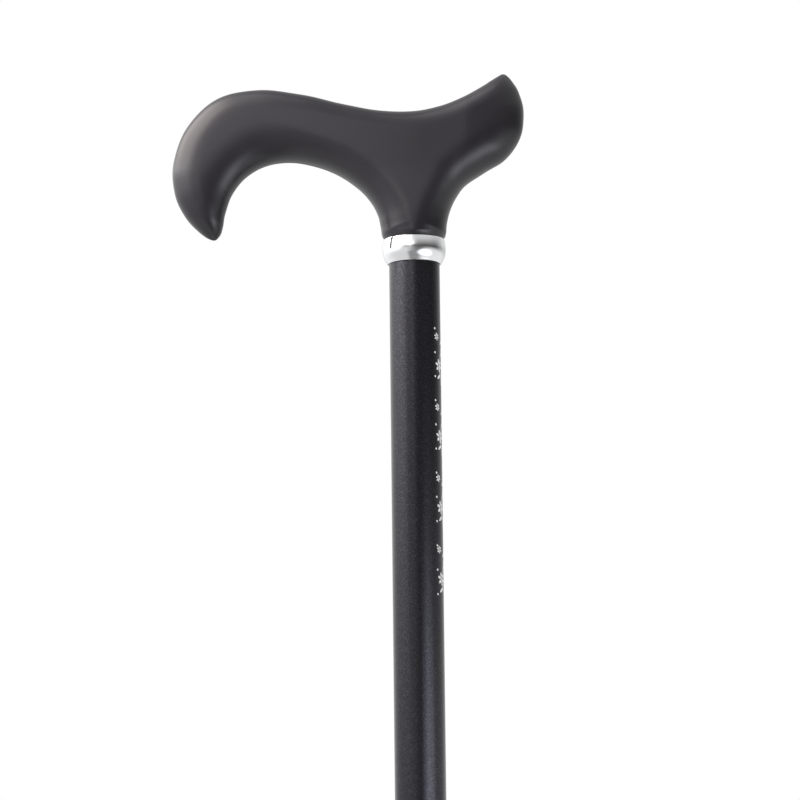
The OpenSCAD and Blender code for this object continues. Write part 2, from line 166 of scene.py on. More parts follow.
def soft_touch_lacquer():
    """Almost black lacquer with a broad, dull shine and a very fine pebble."""
    material, tree, shader = start_finish("soft_touch_lacquer", IOR=1.5)
    place = add(tree, "ShaderNodeTexCoord").outputs["Object"]
    slow = add(tree, "ShaderNodeTexNoise", {"Vector": place, "Scale": per_metre(20), "Detail": 3.0})
    tree.links.new(
        colour_steps(tree, slow.outputs["Fac"], (0.3, "#161318"), (0.7, "#1b181d")),
        shader.inputs["Base Color"],
    )
    rough = add(
        tree, "ShaderNodeMapRange",
        {"Value": slow.outputs["Fac"], "From Min": 0.3, "From Max": 0.7, "To Min": 0.28, "To Max": 0.33},
    )
    tree.links.new(rough.outputs["Result"], shader.inputs["Roughness"])
    pebble = add(tree, "ShaderNodeTexNoise", {"Vector": place, "Scale": per_metre(0.5), "Detail": 2.0})
    bump = add(
        tree, "ShaderNodeBump",
        {"Height": pebble.outputs["Fac"], "Strength": 0.12, "Distance": 0.05 * MM},
    )
    tree.links.new(bump.outputs["Normal"], shader.inputs["Normal"])
    return material


HANDLE_FINISH = soft_touch_lacquer()
print("made", HANDLE_FINISH.name)

# %% [markdown]
# ## Finish: black flake lacquer
#
# The tube is aluminium under a black lacquer with fine metal flakes, so it glitters a little
# in the light. A flake is some hundredths of a millimetre, too fine to see from two metres, so
# the cells here are drawn at 0.4 mm. Each cell of a Voronoi texture gets its own random grey,
# and only the brightest few become flakes.

# %% Black flake lacquer on the upper tube


def black_flake_lacquer():
    """Black lacquer over metal, with a grey of its own for every flake."""
    material, tree, shader = start_finish(
        "black_flake_lacquer", Metallic=0.9, Coat_Weight=0.25, Coat_Roughness=0.12, Coat_IOR=1.5,
    )
    place = add(tree, "ShaderNodeTexCoord").outputs["Object"]
    flakes = add(tree, "ShaderNodeTexVoronoi", {"Vector": place, "Scale": per_metre(0.4)})
    grey = add(tree, "ShaderNodeRGBToBW", {"Color": flakes.outputs["Color"]})
    tree.links.new(
        colour_steps(
            tree, grey.outputs["Val"], (0.15, "#29282c"), (0.6, "#302f34"), (0.95, "#45444b"),
        ),
        shader.inputs["Base Color"],
    )
    rough = add(
        tree, "ShaderNodeMapRange",
        {"Value": grey.outputs["Val"], "From Min": 0.2, "From Max": 0.9, "To Min": 0.31, "To Max": 0.27},
    )
    tree.links.new(rough.outputs["Result"], shader.inputs["Roughness"])
    bump = add(
        tree, "ShaderNodeBump",
        {"Height": grey.outputs["Val"], "Strength": 0.04, "Distance": 0.03 * MM},
    )
    tree.links.new(bump.outputs["Normal"], shader.inputs["Normal"])
    return material


TUBE_FINISH = black_flake_lacquer()
print("made", TUBE_FINISH.name)

# %% [markdown]
# ## Finish: chrome plate
#
# The collar is turned brass under bright chrome. Chrome is a mirror, so almost everything that
# the eye sees on it is the room. A very faint noise of 6 mm in the roughness stands for the
# haze that fingers leave on it.

# %% Chrome on the collar


def chrome_plate():
    """Bright mirror with a faint haze."""
    material, tree, shader = start_finish("chrome_plate", Metallic=1.0)
    place = add(tree, "ShaderNodeTexCoord").outputs["Object"]
    haze = add(tree, "ShaderNodeTexNoise", {"Vector": place, "Scale": per_metre(6), "Detail": 4.0})
    tree.links.new(
        colour_steps(tree, haze.outputs["Fac"], (0.3, "#e6e7e9"), (0.7, "#f2f2f3")),
        shader.inputs["Base Color"],
    )
    rough = add(
        tree, "ShaderNodeMapRange",
        {"Value": haze.outputs["Fac"], "From Min": 0.3, "From Max": 0.7, "To Min": 0.10, "To Max": 0.14},
    )
    tree.links.new(rough.outputs["Result"], shader.inputs["Roughness"])
    return material


CHROME = chrome_plate()
print("made", CHROME.name)

# %% [markdown]
# ## Finishes: metals of the lower half
#
# Three more metals carry the load. The lower tube is satin anodised aluminium, drawn through a
# die, so it has fine lines along its length: a noise that is stretched along Z. The bolt, nut,
# washers and button are zinc-plated steel with a cloudy, slightly blue sheen. The leaf spring
# and pins are plain blued steel.

# %% Aluminium and steel


def drawn_metal(name, dark, light, line_mm, run_mm, roughness):
    """Metal with a grain along Z: noise features are line_mm across and run_mm along."""
    material, tree, shader = start_finish(name, Metallic=1.0)
    place = add(tree, "ShaderNodeTexCoord").outputs["Object"]
    stretch = add(
        tree, "ShaderNodeMapping",
        {"Vector": place, "Scale": (per_metre(line_mm), per_metre(line_mm), per_metre(run_mm))},
    )
    grain = add(
        tree, "ShaderNodeTexNoise", {"Vector": stretch.outputs["Vector"], "Scale": 1.0, "Detail": 3.0},
    )
    tree.links.new(
        colour_steps(tree, grain.outputs["Fac"], (0.3, dark), (0.7, light)),
        shader.inputs["Base Color"],
    )
    rough = add(
        tree, "ShaderNodeMapRange",
        {"Value": grain.outputs["Fac"], "To Min": roughness - 0.08, "To Max": roughness + 0.08},
    )
    tree.links.new(rough.outputs["Result"], shader.inputs["Roughness"])
    bump = add(
        tree, "ShaderNodeBump",
        {"Height": grain.outputs["Fac"], "Strength": 0.08, "Distance": 0.03 * MM},
    )
    tree.links.new(bump.outputs["Normal"], shader.inputs["Normal"])
    return material


ANODISED = drawn_metal(
    "satin_anodised_aluminium", "#b4b6ba", "#cfd1d4", line_mm=0.4, run_mm=40, roughness=0.33,
)
ZINC = drawn_metal("zinc_plated_steel", "#a9adb3", "#c9ccd2", line_mm=2.0, run_mm=2.5, roughness=0.3)
SPRING_STEEL = drawn_metal(
    "blued_spring_steel", "#5b6068", "#7d828a", line_mm=0.4, run_mm=15, roughness=0.35,
)
print("made", ANODISED.name, ZINC.name, SPRING_STEEL.name)

# %% [markdown]
# ## Finishes: powder coat, moulded nylon and rubber
#
# The legs and the hub are steel tube under black powder coat, whose melted powder leaves a
# gentle orange peel of about 1.5 mm. The lock ring and the plugs are moulded nylon with a fine
# spark-eroded grain of 0.6 mm. The tips are moulded rubber: duller, a little lighter, with
# dusty patches where they meet the floor. One function makes all of them, because they differ
# only in their numbers.

# %% Coatings and mouldings


def pebbled(name, dark, light, patch_mm, grain_mm, depth_mm, rough_low, rough_high, ior):
    """Dark polymer: slow patches of two greys, and a bump whose features are grain_mm across."""
    material, tree, shader = start_finish(name, IOR=ior)
    place = add(tree, "ShaderNodeTexCoord").outputs["Object"]
    patch = add(tree, "ShaderNodeTexNoise", {"Vector": place, "Scale": per_metre(patch_mm), "Detail": 4.0})
    tree.links.new(
        colour_steps(tree, patch.outputs["Fac"], (0.3, dark), (0.7, light)),
        shader.inputs["Base Color"],
    )
    rough = add(
        tree, "ShaderNodeMapRange",
        {"Value": patch.outputs["Fac"], "From Min": 0.3, "From Max": 0.7,
         "To Min": rough_low, "To Max": rough_high},
    )
    tree.links.new(rough.outputs["Result"], shader.inputs["Roughness"])
    grain = add(tree, "ShaderNodeTexNoise", {"Vector": place, "Scale": per_metre(grain_mm), "Detail": 2.0})
    bump = add(
        tree, "ShaderNodeBump",
        {"Height": grain.outputs["Fac"], "Strength": 0.35, "Distance": depth_mm * MM},
    )
    tree.links.new(bump.outputs["Normal"], shader.inputs["Normal"])
    return material


POWDER_COAT = pebbled(
    "black_powder_coat", "#1a1a1b", "#232325", patch_mm=25, grain_mm=1.5, depth_mm=0.08,
    rough_low=0.32, rough_high=0.4, ior=1.5,
)
NYLON = pebbled(
    "moulded_black_nylon", "#1b1b1c", "#252527", patch_mm=15, grain_mm=0.6, depth_mm=0.06,
    rough_low=0.42, rough_high=0.52, ior=1.53,
)
PALE_NYLON = pebbled(
    "moulded_grey_nylon", "#6f6f6c", "#80807c", patch_mm=15, grain_mm=0.6, depth_mm=0.06,
    rough_low=0.4, rough_high=0.5, ior=1.53,
)
RUBBER = pebbled(
    "moulded_tip_rubber", "#2a2a2b", "#3b3a39", patch_mm=9, grain_mm=0.8, depth_mm=0.1,
    rough_low=0.6, rough_high=0.8, ior=1.52,
)
print("made", POWDER_COAT.name, NYLON.name, PALE_NYLON.name, RUBBER.name)

# %% [markdown]
# ## Dress the solids that keep their shape
#
# A tube, a bent leg or a ribbed ring is already exact in the frame, so those solids stay and
# only get their finish. The table says which finish goes on which node.

# %% Assign finishes to the frame's nodes
LEGS = [f"leg_{end}_{side}" for end in ("front", "rear") for side in ("left", "right")]
TIPS = [name.replace("leg", "tip") for name in LEGS]
DRESSED = {
    TUBE_FINISH: ["upper_tube"],
    ANODISED: ["lower_tube"],
    ZINC: ["base_bolt", "base_washers", "base_nut", "height_button", "tip_washers"],
    SPRING_STEEL: ["button_spring", "handle_pin"],
    POWDER_COAT: ["hub", *LEGS],
    NYLON: ["lock_ring", "hub_plug"],
    PALE_NYLON: ["lock_sleeve", "tube_guide", "handle_core"],
    RUBBER: TIPS,
    HANDLE_FINISH: ["handle_grip"],
    CHROME: ["collar"],
}
for material, names in DRESSED.items():
    for name in names:
        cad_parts[name].material_slots[0].material = material
print("dressed", sum(len(names) for names in DRESSED.values()), "of", len(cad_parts), "nodes")

# %% [markdown]
# ## From arrays to a mesh
#
# The new pieces are surfaces worked out with numpy. A surface is a grid of points, rows by
# columns, and each cell of the grid becomes a face. Where a grid closes on itself or shrinks
# to a point, neighbours share a place, so the doubles are merged and the normals are turned
# outwards at the end.

# %% Grid to mesh
MERGE_GAP = 0.0005 * MM


def grid_faces(rows, columns, start=0):
    """Corner numbers of the cells of a grid of points that are stored row by row."""
    corner = start + np.arange(rows - 1)[:, None] * columns + np.arange(columns - 1)[None, :]
    cells = np.stack([corner, corner + 1, corner + columns + 1, corner + columns], axis=-1)
    return cells.reshape(-1, 4)


def make_piece(name, grids, material, body):
    """One object from a list of grids of points, each an array of rows by columns by 3.

    It rides on the body. Where body is None, it rides on no body.
    """
    points = np.concatenate([grid.reshape(-1, 3) for grid in grids])
    starts = np.cumsum([0] + [grid.shape[0] * grid.shape[1] for grid in grids])
    faces = np.concatenate(
        [grid_faces(grid.shape[0], grid.shape[1], start) for grid, start in zip(grids, starts)]
    )
    mesh = bpy.data.meshes.new(name)
    mesh.from_pydata(points.tolist(), [], faces.tolist())
    work = bmesh.new()
    work.from_mesh(mesh)
    bmesh.ops.remove_doubles(work, verts=work.verts, dist=MERGE_GAP)
    bmesh.ops.recalc_face_normals(work, faces=work.faces)
    work.to_mesh(mesh)
    work.free()
    mesh.shade_smooth()
    mesh.materials.append(material)
    piece = bpy.data.objects.new(name, mesh)
    bpy.context.scene.collection.objects.link(piece)
    if body:
        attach(piece, body)
    print(name, len(mesh.vertices), "points", len(mesh.polygons), "faces")
    return piece


print("piece helpers ready")

# %% [markdown]
# ## Turned parts and arcs
#
# A part from a lathe is a profile carried round an axis, and most profiles are made of arcs.
# Blender's Screw modifier does this too. With arrays it takes one line, and the last row gets
# the first row's angle again, so that the seam closes exactly.

# %% Turned parts and arcs


def revolve(profile, segments):
    """Grid of a turned part: each profile point (r, z) runs round the axis, x = r cos a, y = r sin a."""
    angle = np.linspace(0, 2 * np.pi, segments + 1)
    angle[-1] = 0.0
    r, z = profile[:, 0][None, :], profile[:, 1][None, :]
    x, y = r * np.cos(angle)[:, None], r * np.sin(angle)[:, None]
    return np.stack([x, y, np.broadcast_to(z, x.shape)], axis=-1)


def arc(centre, radius, start, end, steps):
    """Points on a circle between two angles in degrees."""
    angle = np.radians(np.linspace(start, end, steps))
    return np.stack([centre[0] + radius * np.cos(angle), centre[1] + radius * np.sin(angle)], axis=-1)


print("profile helpers ready")

# %% [markdown]
# ## The handle's outline
#
# A derby handle is shaped by its side view: the nose that hooks over the fingers, the saddle
# for the palm, the upturned tail and the neck. The outline is a list of points in millimetres,
# measured from the middle of the neck's bottom edge. Each stretch has a name, and a place on
# the outline is counted in points, so that the stretches can be found again.

# %% Outline of the handle
NOSE_TIP, TAIL_TIP = (-90.4, 0.6), (41.2, 75.8)
TOP_MID, LEFT_MID, RIGHT_MID = (0, 58.7), (-24.5, 23.3), (23.5, 24.6)
NECK_LEFT = [(-13.4, 0), (-14.4, 2), (-15, 6), (-16.2, 11.3), (-19.2, 17.2)]
ARCH = [
    (-33.5, 29.8), (-44, 34.1), (-55.5, 36.1), (-66.5, 34.5), (-75.4, 29.4),
    (-81.6, 21.7), (-84.8, 13), (-86, 6.5), (-87.4, 2.6),
]
NOSE_TOP = [
    (-96, 3.8), (-103, 11.5), (-107.6, 22), (-108.2, 36), (-102, 52.5),
    (-88.5, 65.4), (-70, 69.4), (-50, 67), (-31, 62.3), (-15, 59.2),
]
TAIL_TOP = [(12, 60.9), (22, 64.7), (30.5, 69.3), (36.6, 73.3), (39.6, 75.2)]
TAIL_UNDER = [
    (42.9, 74.9), (45.2, 72.2), (48.2, 66.9), (50.2, 58), (48.6, 46.5), (42, 36.7), (32, 30.3),
]
NECK_RIGHT = [(19.2, 19), (16.5, 13.3), (15, 7.6), (14.4, 2.4), (13.4, 0)]

inner = np.array(
    NECK_LEFT + [LEFT_MID] + ARCH + [NOSE_TIP] + NOSE_TOP + [TOP_MID]
    + TAIL_TOP + [TAIL_TIP] + TAIL_UNDER + [RIGHT_MID] + NECK_RIGHT, dtype=float,
)
OUTLINE = np.vstack([2 * inner[0] - inner[1], inner, 2 * inner[-1] - inner[-2]])
U_START = 1
U_LEFT = U_START + len(NECK_LEFT)
U_NOSE = U_LEFT + len(ARCH) + 1
U_TOP = U_NOSE + len(NOSE_TOP) + 1
U_TAIL = U_TOP + len(TAIL_TOP) + 1
U_RIGHT = U_TAIL + len(TAIL_UNDER) + 1
U_END = U_RIGHT + len(NECK_RIGHT)
print("outline of", len(inner), "points")

# %% [markdown]
# ## A smooth curve through the points
#
# Between two points we blend two parabolas, each through three neighbours. The blend has no
# slope at its ends, so the curve's bend runs on without a jump, which a shiny surface would show
# at once. A Bezier curve with automatic handles meets the points too, but its bend jumps there.

# %% Curve through the outline


def smooth(t):
    """Rises from 0 to 1 with no slope at either end: 3 t squared minus 2 t cubed."""
    t = np.clip(t, 0, 1)
    return t * t * (3 - 2 * t)


def outline_at(u):
    """Outline point at place u, where whole numbers are the listed points."""
    u = np.asarray(u, dtype=float)
    i = np.minimum(np.floor(u), U_END - 1).astype(int)
    t = (u - i)[:, None]
    a, b, c, d = OUTLINE[i - 1], OUTLINE[i], OUTLINE[i + 1], OUTLINE[i + 2]
    before = b + (c - a) * t / 2 + (a - 2 * b + c) * t * t / 2
    after = c + (d - b) * (t - 1) / 2 + (b - 2 * c + d) * (t - 1) ** 2 / 2
    return (1 - smooth(t)) * before + smooth(t) * after


outline_steps = np.diff(outline_at(np.linspace(U_START, U_END, 1000)), axis=0)
print("outline is", round(np.linalg.norm(outline_steps, axis=1).sum()), "mm long")

# %% [markdown]
# ## Rounded edges
#
# Seen from above, the handle is a plank whose edges are rounded all the way to its middle. So
# its half thickness at any point of the middle plane depends on how far that point is from the
# outline: from 0 at the edge it rises like a quarter of an ellipse. A bevel is meant for edges of
# one width, and here the width changes all along the edge.

# %% Distance and rounding
LINES_PER_POINT = 12
SOFT_START = 0.2


def distance_to(points, u0, u1):
    """Least distance from each point to the outline's stretch from u0 to u1, as short lines."""
    line = outline_at(np.linspace(u0, u1, LINES_PER_POINT * (u1 - u0) + 1))
    start, step = line[:-1], np.diff(line, axis=0)
    offset = points[:, None, :] - start[None]
    along = (offset * step).sum(-1) / (step * step).sum(-1)
    gap = offset - np.clip(along, 0, 1)[..., None] * step
    return np.sqrt((gap * gap).sum(-1).min(axis=1))


def rounded(distance, depth, power=2):
    """Quarter of an ellipse: 0 at the edge, 1 at depth from it. A power over 2 ends it more softly."""
    s = np.minimum(distance / depth, 1)
    return np.sqrt(1 - (1 - s) ** power)


def onset(t):
    """Straight rise from 0 to 1 with a soft start: t squared over t plus a little."""
    t = np.clip(t, 0, 1)
    return (1 + SOFT_START) * t * t / (t + SOFT_START)


print("neck's middle to outline", round(distance_to(np.array([[0.0, 6.0]]), U_START, U_LEFT)[0], 1), "mm")

# %% [markdown]
# ## How thick the handle is
#
# The grip gets a little slimmer towards its ends. The edges that the fingers hold are deeper
# than the palm's and end more softly. The neck is as wide as two such edges, so it comes out
# round, as the collar under it needs.

# %% Half thickness of the handle
# Half widths in mm of the neck and of the grip, and how much slimmer the grip gets at its ends
NECK_R, GRIP_HALF, END_SLIM = 14.4, 13.5, 3.2
NOSE_FROM, NOSE_RUN, TAIL_FROM, TAIL_RUN = 5, 113, 23, 27
# The round neck's top, the height over which it turns into the grip, and where the nose is clear
NECK_ROUND_Z, NECK_BLEND = 8, 25
NOSE_CLEAR_X, NOSE_CLEAR_RUN = -45, 20
# How deep the palm's edge is rounded at the saddle and at the nose, and where it changes
PALM_EDGE, NOSE_EDGE = 8.5, 12.5
NOSE_EDGE_X, NOSE_EDGE_RUN = -40, 50
# How deep the fingers' edge is rounded at the arch, the hook and the tail, and where it changes
ARCH_EDGE, HOOK_EDGE, TAIL_EDGE = 14.5, 21.0, 18.5
HOOK_X, HOOK_RUN, TAIL_EDGE_RUN = -38, 35, 20
SOFTER = 0.8
# The neck's lower end is drawn in a little, like a lip
LIP_H, LIP_IN = 2.5, 1.0


def half_thickness(points):
    """Side width times the rounding of the three edges that meet in the handle."""
    x, z = points[:, 0], points[:, 1]
    above_neck = np.maximum(
        smooth((z - NECK_ROUND_Z) / NECK_BLEND), smooth((NOSE_CLEAR_X - x) / NOSE_CLEAR_RUN),
    )
    side = NECK_R - (NECK_R - GRIP_HALF) * above_neck
    side = side - END_SLIM * (onset((NOSE_FROM - x) / NOSE_RUN) + onset((x - TAIL_FROM) / TAIL_RUN))
    side = side - LIP_IN * np.clip(1 - z / LIP_H, 0, 1) ** 2
    finger_edge = ARCH_EDGE + (HOOK_EDGE - ARCH_EDGE) * smooth((HOOK_X - x) / HOOK_RUN)
    finger_edge = finger_edge + (TAIL_EDGE - ARCH_EDGE) * smooth(x / TAIL_EDGE_RUN)
    finger_edge = NECK_R + (finger_edge - NECK_R) * above_neck
    palm_edge = PALM_EDGE + (NOSE_EDGE - PALM_EDGE) * smooth((NOSE_EDGE_X - x) / NOSE_EDGE_RUN)
    side = side * rounded(distance_to(points, U_NOSE, U_TAIL), palm_edge)
    for u0, u1 in ((U_START, U_NOSE), (U_TAIL, U_END)):
        distance = distance_to(points, u0, u1)
        side = side * rounded(distance, finger_edge, 2 + SOFTER * above_neck)
    return side


print("thickest", round(2 * half_thickness(np.array([[-50.0, 55.0]]))[0], 1), "mm at the palm")

# %% [markdown]
# ## The handle's surface
#
# The middle plane has three arms: nose, tail and neck. Each arm is a grid. A row runs from one
# edge through the arm's middle to the other edge, and the points crowd towards the edges, where
# the surface turns fastest. The front is the grid pushed to -Y by the half thickness, and the
# back is its mirror image. All three arms share one middle point, so they close without a seam.

# %% Build the handle
ACROSS, NOSE_STATIONS, TAIL_STATIONS, NECK_STATIONS = 22, 150, 96, 70
# The higher this power, the later an arm's middle line turns to the point that all arms share
MID_PULL = 4
MID_POINT = outline_at([U_TOP, U_LEFT, U_RIGHT]).mean(axis=0)


def arm(u_a, u_b, stations):
    """Grid of middle-plane points: rows run from edge a over the middle to edge b."""
    k = np.linspace(0, 1, stations + 1)
    a = outline_at(u_a[0] + (u_a[1] - u_a[0]) * k)
    b = outline_at(u_b[0] + (u_b[1] - u_b[0]) * k)
    middle = (a + b) / 2
    middle = middle + (MID_POINT - middle) * (k ** MID_PULL)[:, None]
    lean = 1 - np.cos(np.linspace(0, np.pi / 2, ACROSS + 1))
    to_a = a[:, None] + (middle - a)[:, None] * lean[None, :, None]
    to_b = b[:, None] + (middle - b)[:, None] * lean[None, ::-1, None]
    return np.concatenate([to_a, to_b[:, 1:]], axis=1)


def both_faces(plane):
    """Front and back grids of an arm, in metres, at the handle's place in the frame."""
    rows, columns, _ = plane.shape
    half = half_thickness(plane.reshape(-1, 2)).reshape(rows, columns)
    half[:, [0, -1]] = 0
    front = np.stack([plane[..., 0], -half, plane[..., 1]], axis=-1) * MM
    front[..., 2] += NECK_Z
    return front, front * np.array([1, -1, 1])


nose = both_faces(arm((U_NOSE, U_TOP), (U_NOSE, U_LEFT), NOSE_STATIONS))
tail = both_faces(arm((U_TAIL, U_RIGHT), (U_TAIL, U_TOP), TAIL_STATIONS))
neck = both_faces(arm((U_START, U_LEFT), (U_END, U_RIGHT), NECK_STATIONS))
neck_end = np.stack([neck[0][0], neck[1][0]])
handle = make_piece(
    "handle_shell", [*nose, *tail, *neck, neck_end], HANDLE_FINISH, "upper_shaft",
)
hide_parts("handle_grip")

# %% [markdown]
# ## The collar
#
# The collar is turned on a lathe, so it is a profile carried round the axis. Its belly is made
# of two arcs that meet at the widest place, a tight one below and a flatter one above. Both rims
# are rolled over with small arcs, because a sharp rim would look like cut sheet.

# %% Turn the collar
BELLY_SHARE = 0.57
LOW_BELLY_R, HIGH_BELLY_R = 10.5 * MM, 23 * MM
LOW_RIM_R, HIGH_RIM_R = 0.8 * MM, 0.6 * MM
BORE_GAP, TOP_GAP = 0.02 * MM, 0.05 * MM
COLLAR_STEPS = 256
# Each arc runs between two angles in degrees, in a number of points
belly_z = COLLAR_LOW_Z + BELLY_SHARE * (NECK_Z - COLLAR_LOW_Z)
low_belly = arc((COLLAR_R - LOW_BELLY_R, belly_z), LOW_BELLY_R, -33, 0, 36)
high_belly = arc((COLLAR_R - HIGH_BELLY_R, belly_z), HIGH_BELLY_R, 0.4, 10.6, 16)
low_rim = arc((low_belly[0, 0] - LOW_RIM_R, COLLAR_LOW_Z + LOW_RIM_R), LOW_RIM_R, -90, -35, 8)
high_rim_z = NECK_Z - TOP_GAP - HIGH_RIM_R
high_rim = arc((high_belly[-1, 0] - HIGH_RIM_R, high_rim_z), HIGH_RIM_R, 15, 90, 8)
bore_r = TUBE_R + BORE_GAP
collar_profile = np.vstack([
    [[bore_r, COLLAR_LOW_Z]], low_rim, low_belly, high_belly, high_rim,
    [[bore_r, NECK_Z - TOP_GAP]], [[bore_r, COLLAR_LOW_Z]],
])
collar = make_piece(
    "collar_ring", [revolve(collar_profile, COLLAR_STEPS)], CHROME, "upper_shaft",
)
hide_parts("collar")

# %% [markdown]
# ## Ink for the print
#
# Canes like this are often sold with a band of flowers on the outer side of the shaft. The ink
# is a silver screen ink: pale, with a little metal powder in it, and with a film that is never
# quite even. A noise of 1.2 mm stands for that film.

# %% Silver ink


def silver_ink():
    """Pale ink with a little metal powder and a slightly uneven film."""
    material, tree, shader = start_finish("silver_ink", Metallic=0.1, IOR=1.5)
    place = add(tree, "ShaderNodeTexCoord").outputs["Object"]
    film = add(tree, "ShaderNodeTexNoise", {"Vector": place, "Scale": per_metre(1.2), "Detail": 3.0})
    tree.links.new(
        colour_steps(tree, film.outputs["Fac"], (0.3, "#dcdcde"), (0.7, "#f0f0f1")),
        shader.inputs["Base Color"],
    )
    rough = add(tree, "ShaderNodeMapRange", {"Value": film.outputs["Fac"], "To Min": 0.3, "To Max": 0.5})
    tree.links.new(rough.outputs["Result"], shader.inputs["Roughness"])
    return material


SILVER_INK = silver_ink()
print("made", SILVER_INK.name)

# %% [markdown]
# ## Ink on a round tube
#
# Every petal, leaf and dot is an ellipse on a flat sheet, which is then rolled round the tube: a
# distance along the sheet becomes an angle. Real ink is about 0.02 mm thick. Here it stands
# 0.06 mm proud as a low mound whose edge dips into the lacquer, so it keeps a clean rim.

# %% Roll the sheet round the tube
PRINT_TOP = COLLAR_LOW_Z - 23 * MM
INK_RISE, EDGE_DIP = 0.06 * MM, 1.3
RIM_POINTS, RINGS = 29, 5


def on_tube(across, down, rise):
    """Sheet to tube: a = across / R from the +X side, x = (R + rise) cos a, y = (R + rise) sin a."""
    turn = across / TUBE_R
    reach = TUBE_R + rise
    return np.stack([reach * np.cos(turn), reach * np.sin(turn), PRINT_TOP - down], axis=-1)


def ink_height(share):
    """Height of the film, from a mark's middle at 0 to its rim at 1: it falls with share to the fourth."""
    return INK_RISE * (1 - EDGE_DIP * share ** 4)


def ellipses(spots):
    """Grids of low mounds. A spot is across, down, half length, half width in mm, and a turn."""
    across, down, length, width, turn = (v[:, None, None] for v in np.asarray(spots, dtype=float).T)
    angle = np.linspace(0, 2 * np.pi, RIM_POINTS)[None, :, None]
    share = np.linspace(0, 1, RINGS)[None, None, :]
    along, beside = length * share * np.cos(angle), width * share * np.sin(angle)
    s = across + along * np.cos(turn) - beside * np.sin(turn)
    d = down + along * np.sin(turn) + beside * np.cos(turn)
    return on_tube(s * MM, d * MM, ink_height(share) + 0 * s)


print("print starts at", round(PRINT_TOP / MM, 1), "mm")

# %% [markdown]
# ## One flower
#
# A flower is a ring of petals round a small eye, each of them an ellipse. All its measures are
# shares of the flower's size, so a bud is the same drawing, only smaller.

# %% One flower
PETALS, FLOWER_TURN = 6, 0.3
PETAL_OUT, PETAL_HALF, PETAL_WIDE, EYE_R = 0.62, 0.38, 0.21, 0.16


def daisy(across, down, size):
    """Spots of a flower: petals at equal turns round a small eye."""
    turn = np.arange(PETALS) * 2 * np.pi / PETALS + FLOWER_TURN
    petals = np.stack([
        across + PETAL_OUT * size * np.cos(turn), down + PETAL_OUT * size * np.sin(turn),
        np.full(PETALS, PETAL_HALF * size), np.full(PETALS, PETAL_WIDE * size), turn,
    ], axis=-1)
    return np.vstack([petals, [[across, down, EYE_R * size, EYE_R * size, 0]]])


print("a flower has", len(daisy(0, 0, 1)), "spots")

# %% [markdown]
# ## A band of flowers
#
# The band is laid out on the flat sheet, in millimetres across and down. A stem sways from side
# to side like a sine wave. A flower sits at each of its turns, a small bud lies across from it,
# and leaves and dots fill the spaces between. A sheet drawn by rules like these is easy to make
# denser, wider or calmer by changing one number.

# %% Lay out the band
# Places and sizes in mm, and turns in radians
MIDDLE, SWAY, WAVE, TURNS = -1.2, 2.8, 32.0, 8
STEM_FROM, STEM_TO, STEM_HALF = 3, 126, 0.16
FLOWER_OUT, FLOWER_SIZE = 3.4, 3.0
BUD_OUT, BUD_DOWN, BUD_SIZE = 5.2, 3, 1.8
LEAF_OUT, LEAF_HALF, LEAF_WIDE, LEAF_DOWN, LEAF_TURN = 1.9, 1.7, 0.65, (3.0, 13.0), (0.6, 2.5)
DOTS, DOT_FROM, DOT_TO, DOT_OUT, DOT_R = 24, 2, 127, 6.6, 0.5


def stem_at(down):
    """Place of the stem across the sheet: a sine wave along the tube."""
    return MIDDLE + SWAY * np.sin(2 * np.pi * down / WAVE)


def sides(count):
    """The signs 1, -1, 1, -1 and so on."""
    return np.where(np.arange(count) % 2 == 0, 1.0, -1.0)


stem_d = np.linspace(STEM_FROM, STEM_TO, 241)[:, None]
stem_v = np.linspace(-1, 1, 5)[None, :]
stem_s = stem_at(stem_d) + STEM_HALF * stem_v
stem = on_tube(stem_s * MM, (stem_d + 0 * stem_v) * MM, ink_height(stem_v) + 0 * stem_s)
half_waves = np.arange(TURNS) * WAVE / 2
places = list(zip(sides(TURNS), half_waves + WAVE / 4))
flowers = [daisy(MIDDLE + FLOWER_OUT * k, d, FLOWER_SIZE) for k, d in places]
buds = [daisy(MIDDLE - BUD_OUT * k, d + BUD_DOWN, BUD_SIZE) for k, d in places]
leaf_d = half_waves + np.array(LEAF_DOWN)[:, None]
leaf_s = stem_at(leaf_d) + LEAF_OUT * np.array([[1], [-1]])
leaves = np.stack([
    leaf_s.ravel(), leaf_d.ravel(), np.full(2 * TURNS, LEAF_HALF), np.full(2 * TURNS, LEAF_WIDE),
    np.repeat(LEAF_TURN, TURNS),
], axis=-1)
dots = np.stack([
    MIDDLE + DOT_OUT * sides(DOTS), np.linspace(DOT_FROM, DOT_TO, DOTS),
    np.full(DOTS, DOT_R), np.full(DOTS, DOT_R), np.zeros(DOTS),
], axis=-1)
spots = ellipses(np.vstack([*flowers, *buds, leaves, dots]))
make_piece("flower_print", [stem, *spots], SILVER_INK, "upper_shaft")

# %% [markdown]
# ## The leaf spring's line
#
# The snap button is pushed out by a strip of spring steel, bent like a hairpin inside the lower
# tube. Its back arm leans on the tube and its front arm carries the button. Seen from the side
# it is one line: up the back, round the bend, down the slanted front arm to a knee, and straight
# down behind the button.

# %% Line of the leaf spring
SPRING_T, SPRING_BEND_R, SPRING_FRONT_H = 0.7 * MM, 2.35 * MM, 16 * MM
spring_low, spring_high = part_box("button_spring")
front_y, back_y = spring_low.y + SPRING_T / 2, spring_high.y - SPRING_T / 2
bend_y, bend_z = back_y - SPRING_BEND_R, spring_high.z - SPRING_BEND_R - SPRING_T / 2
knee = np.array([front_y, spring_low.z + SPRING_FRONT_H])
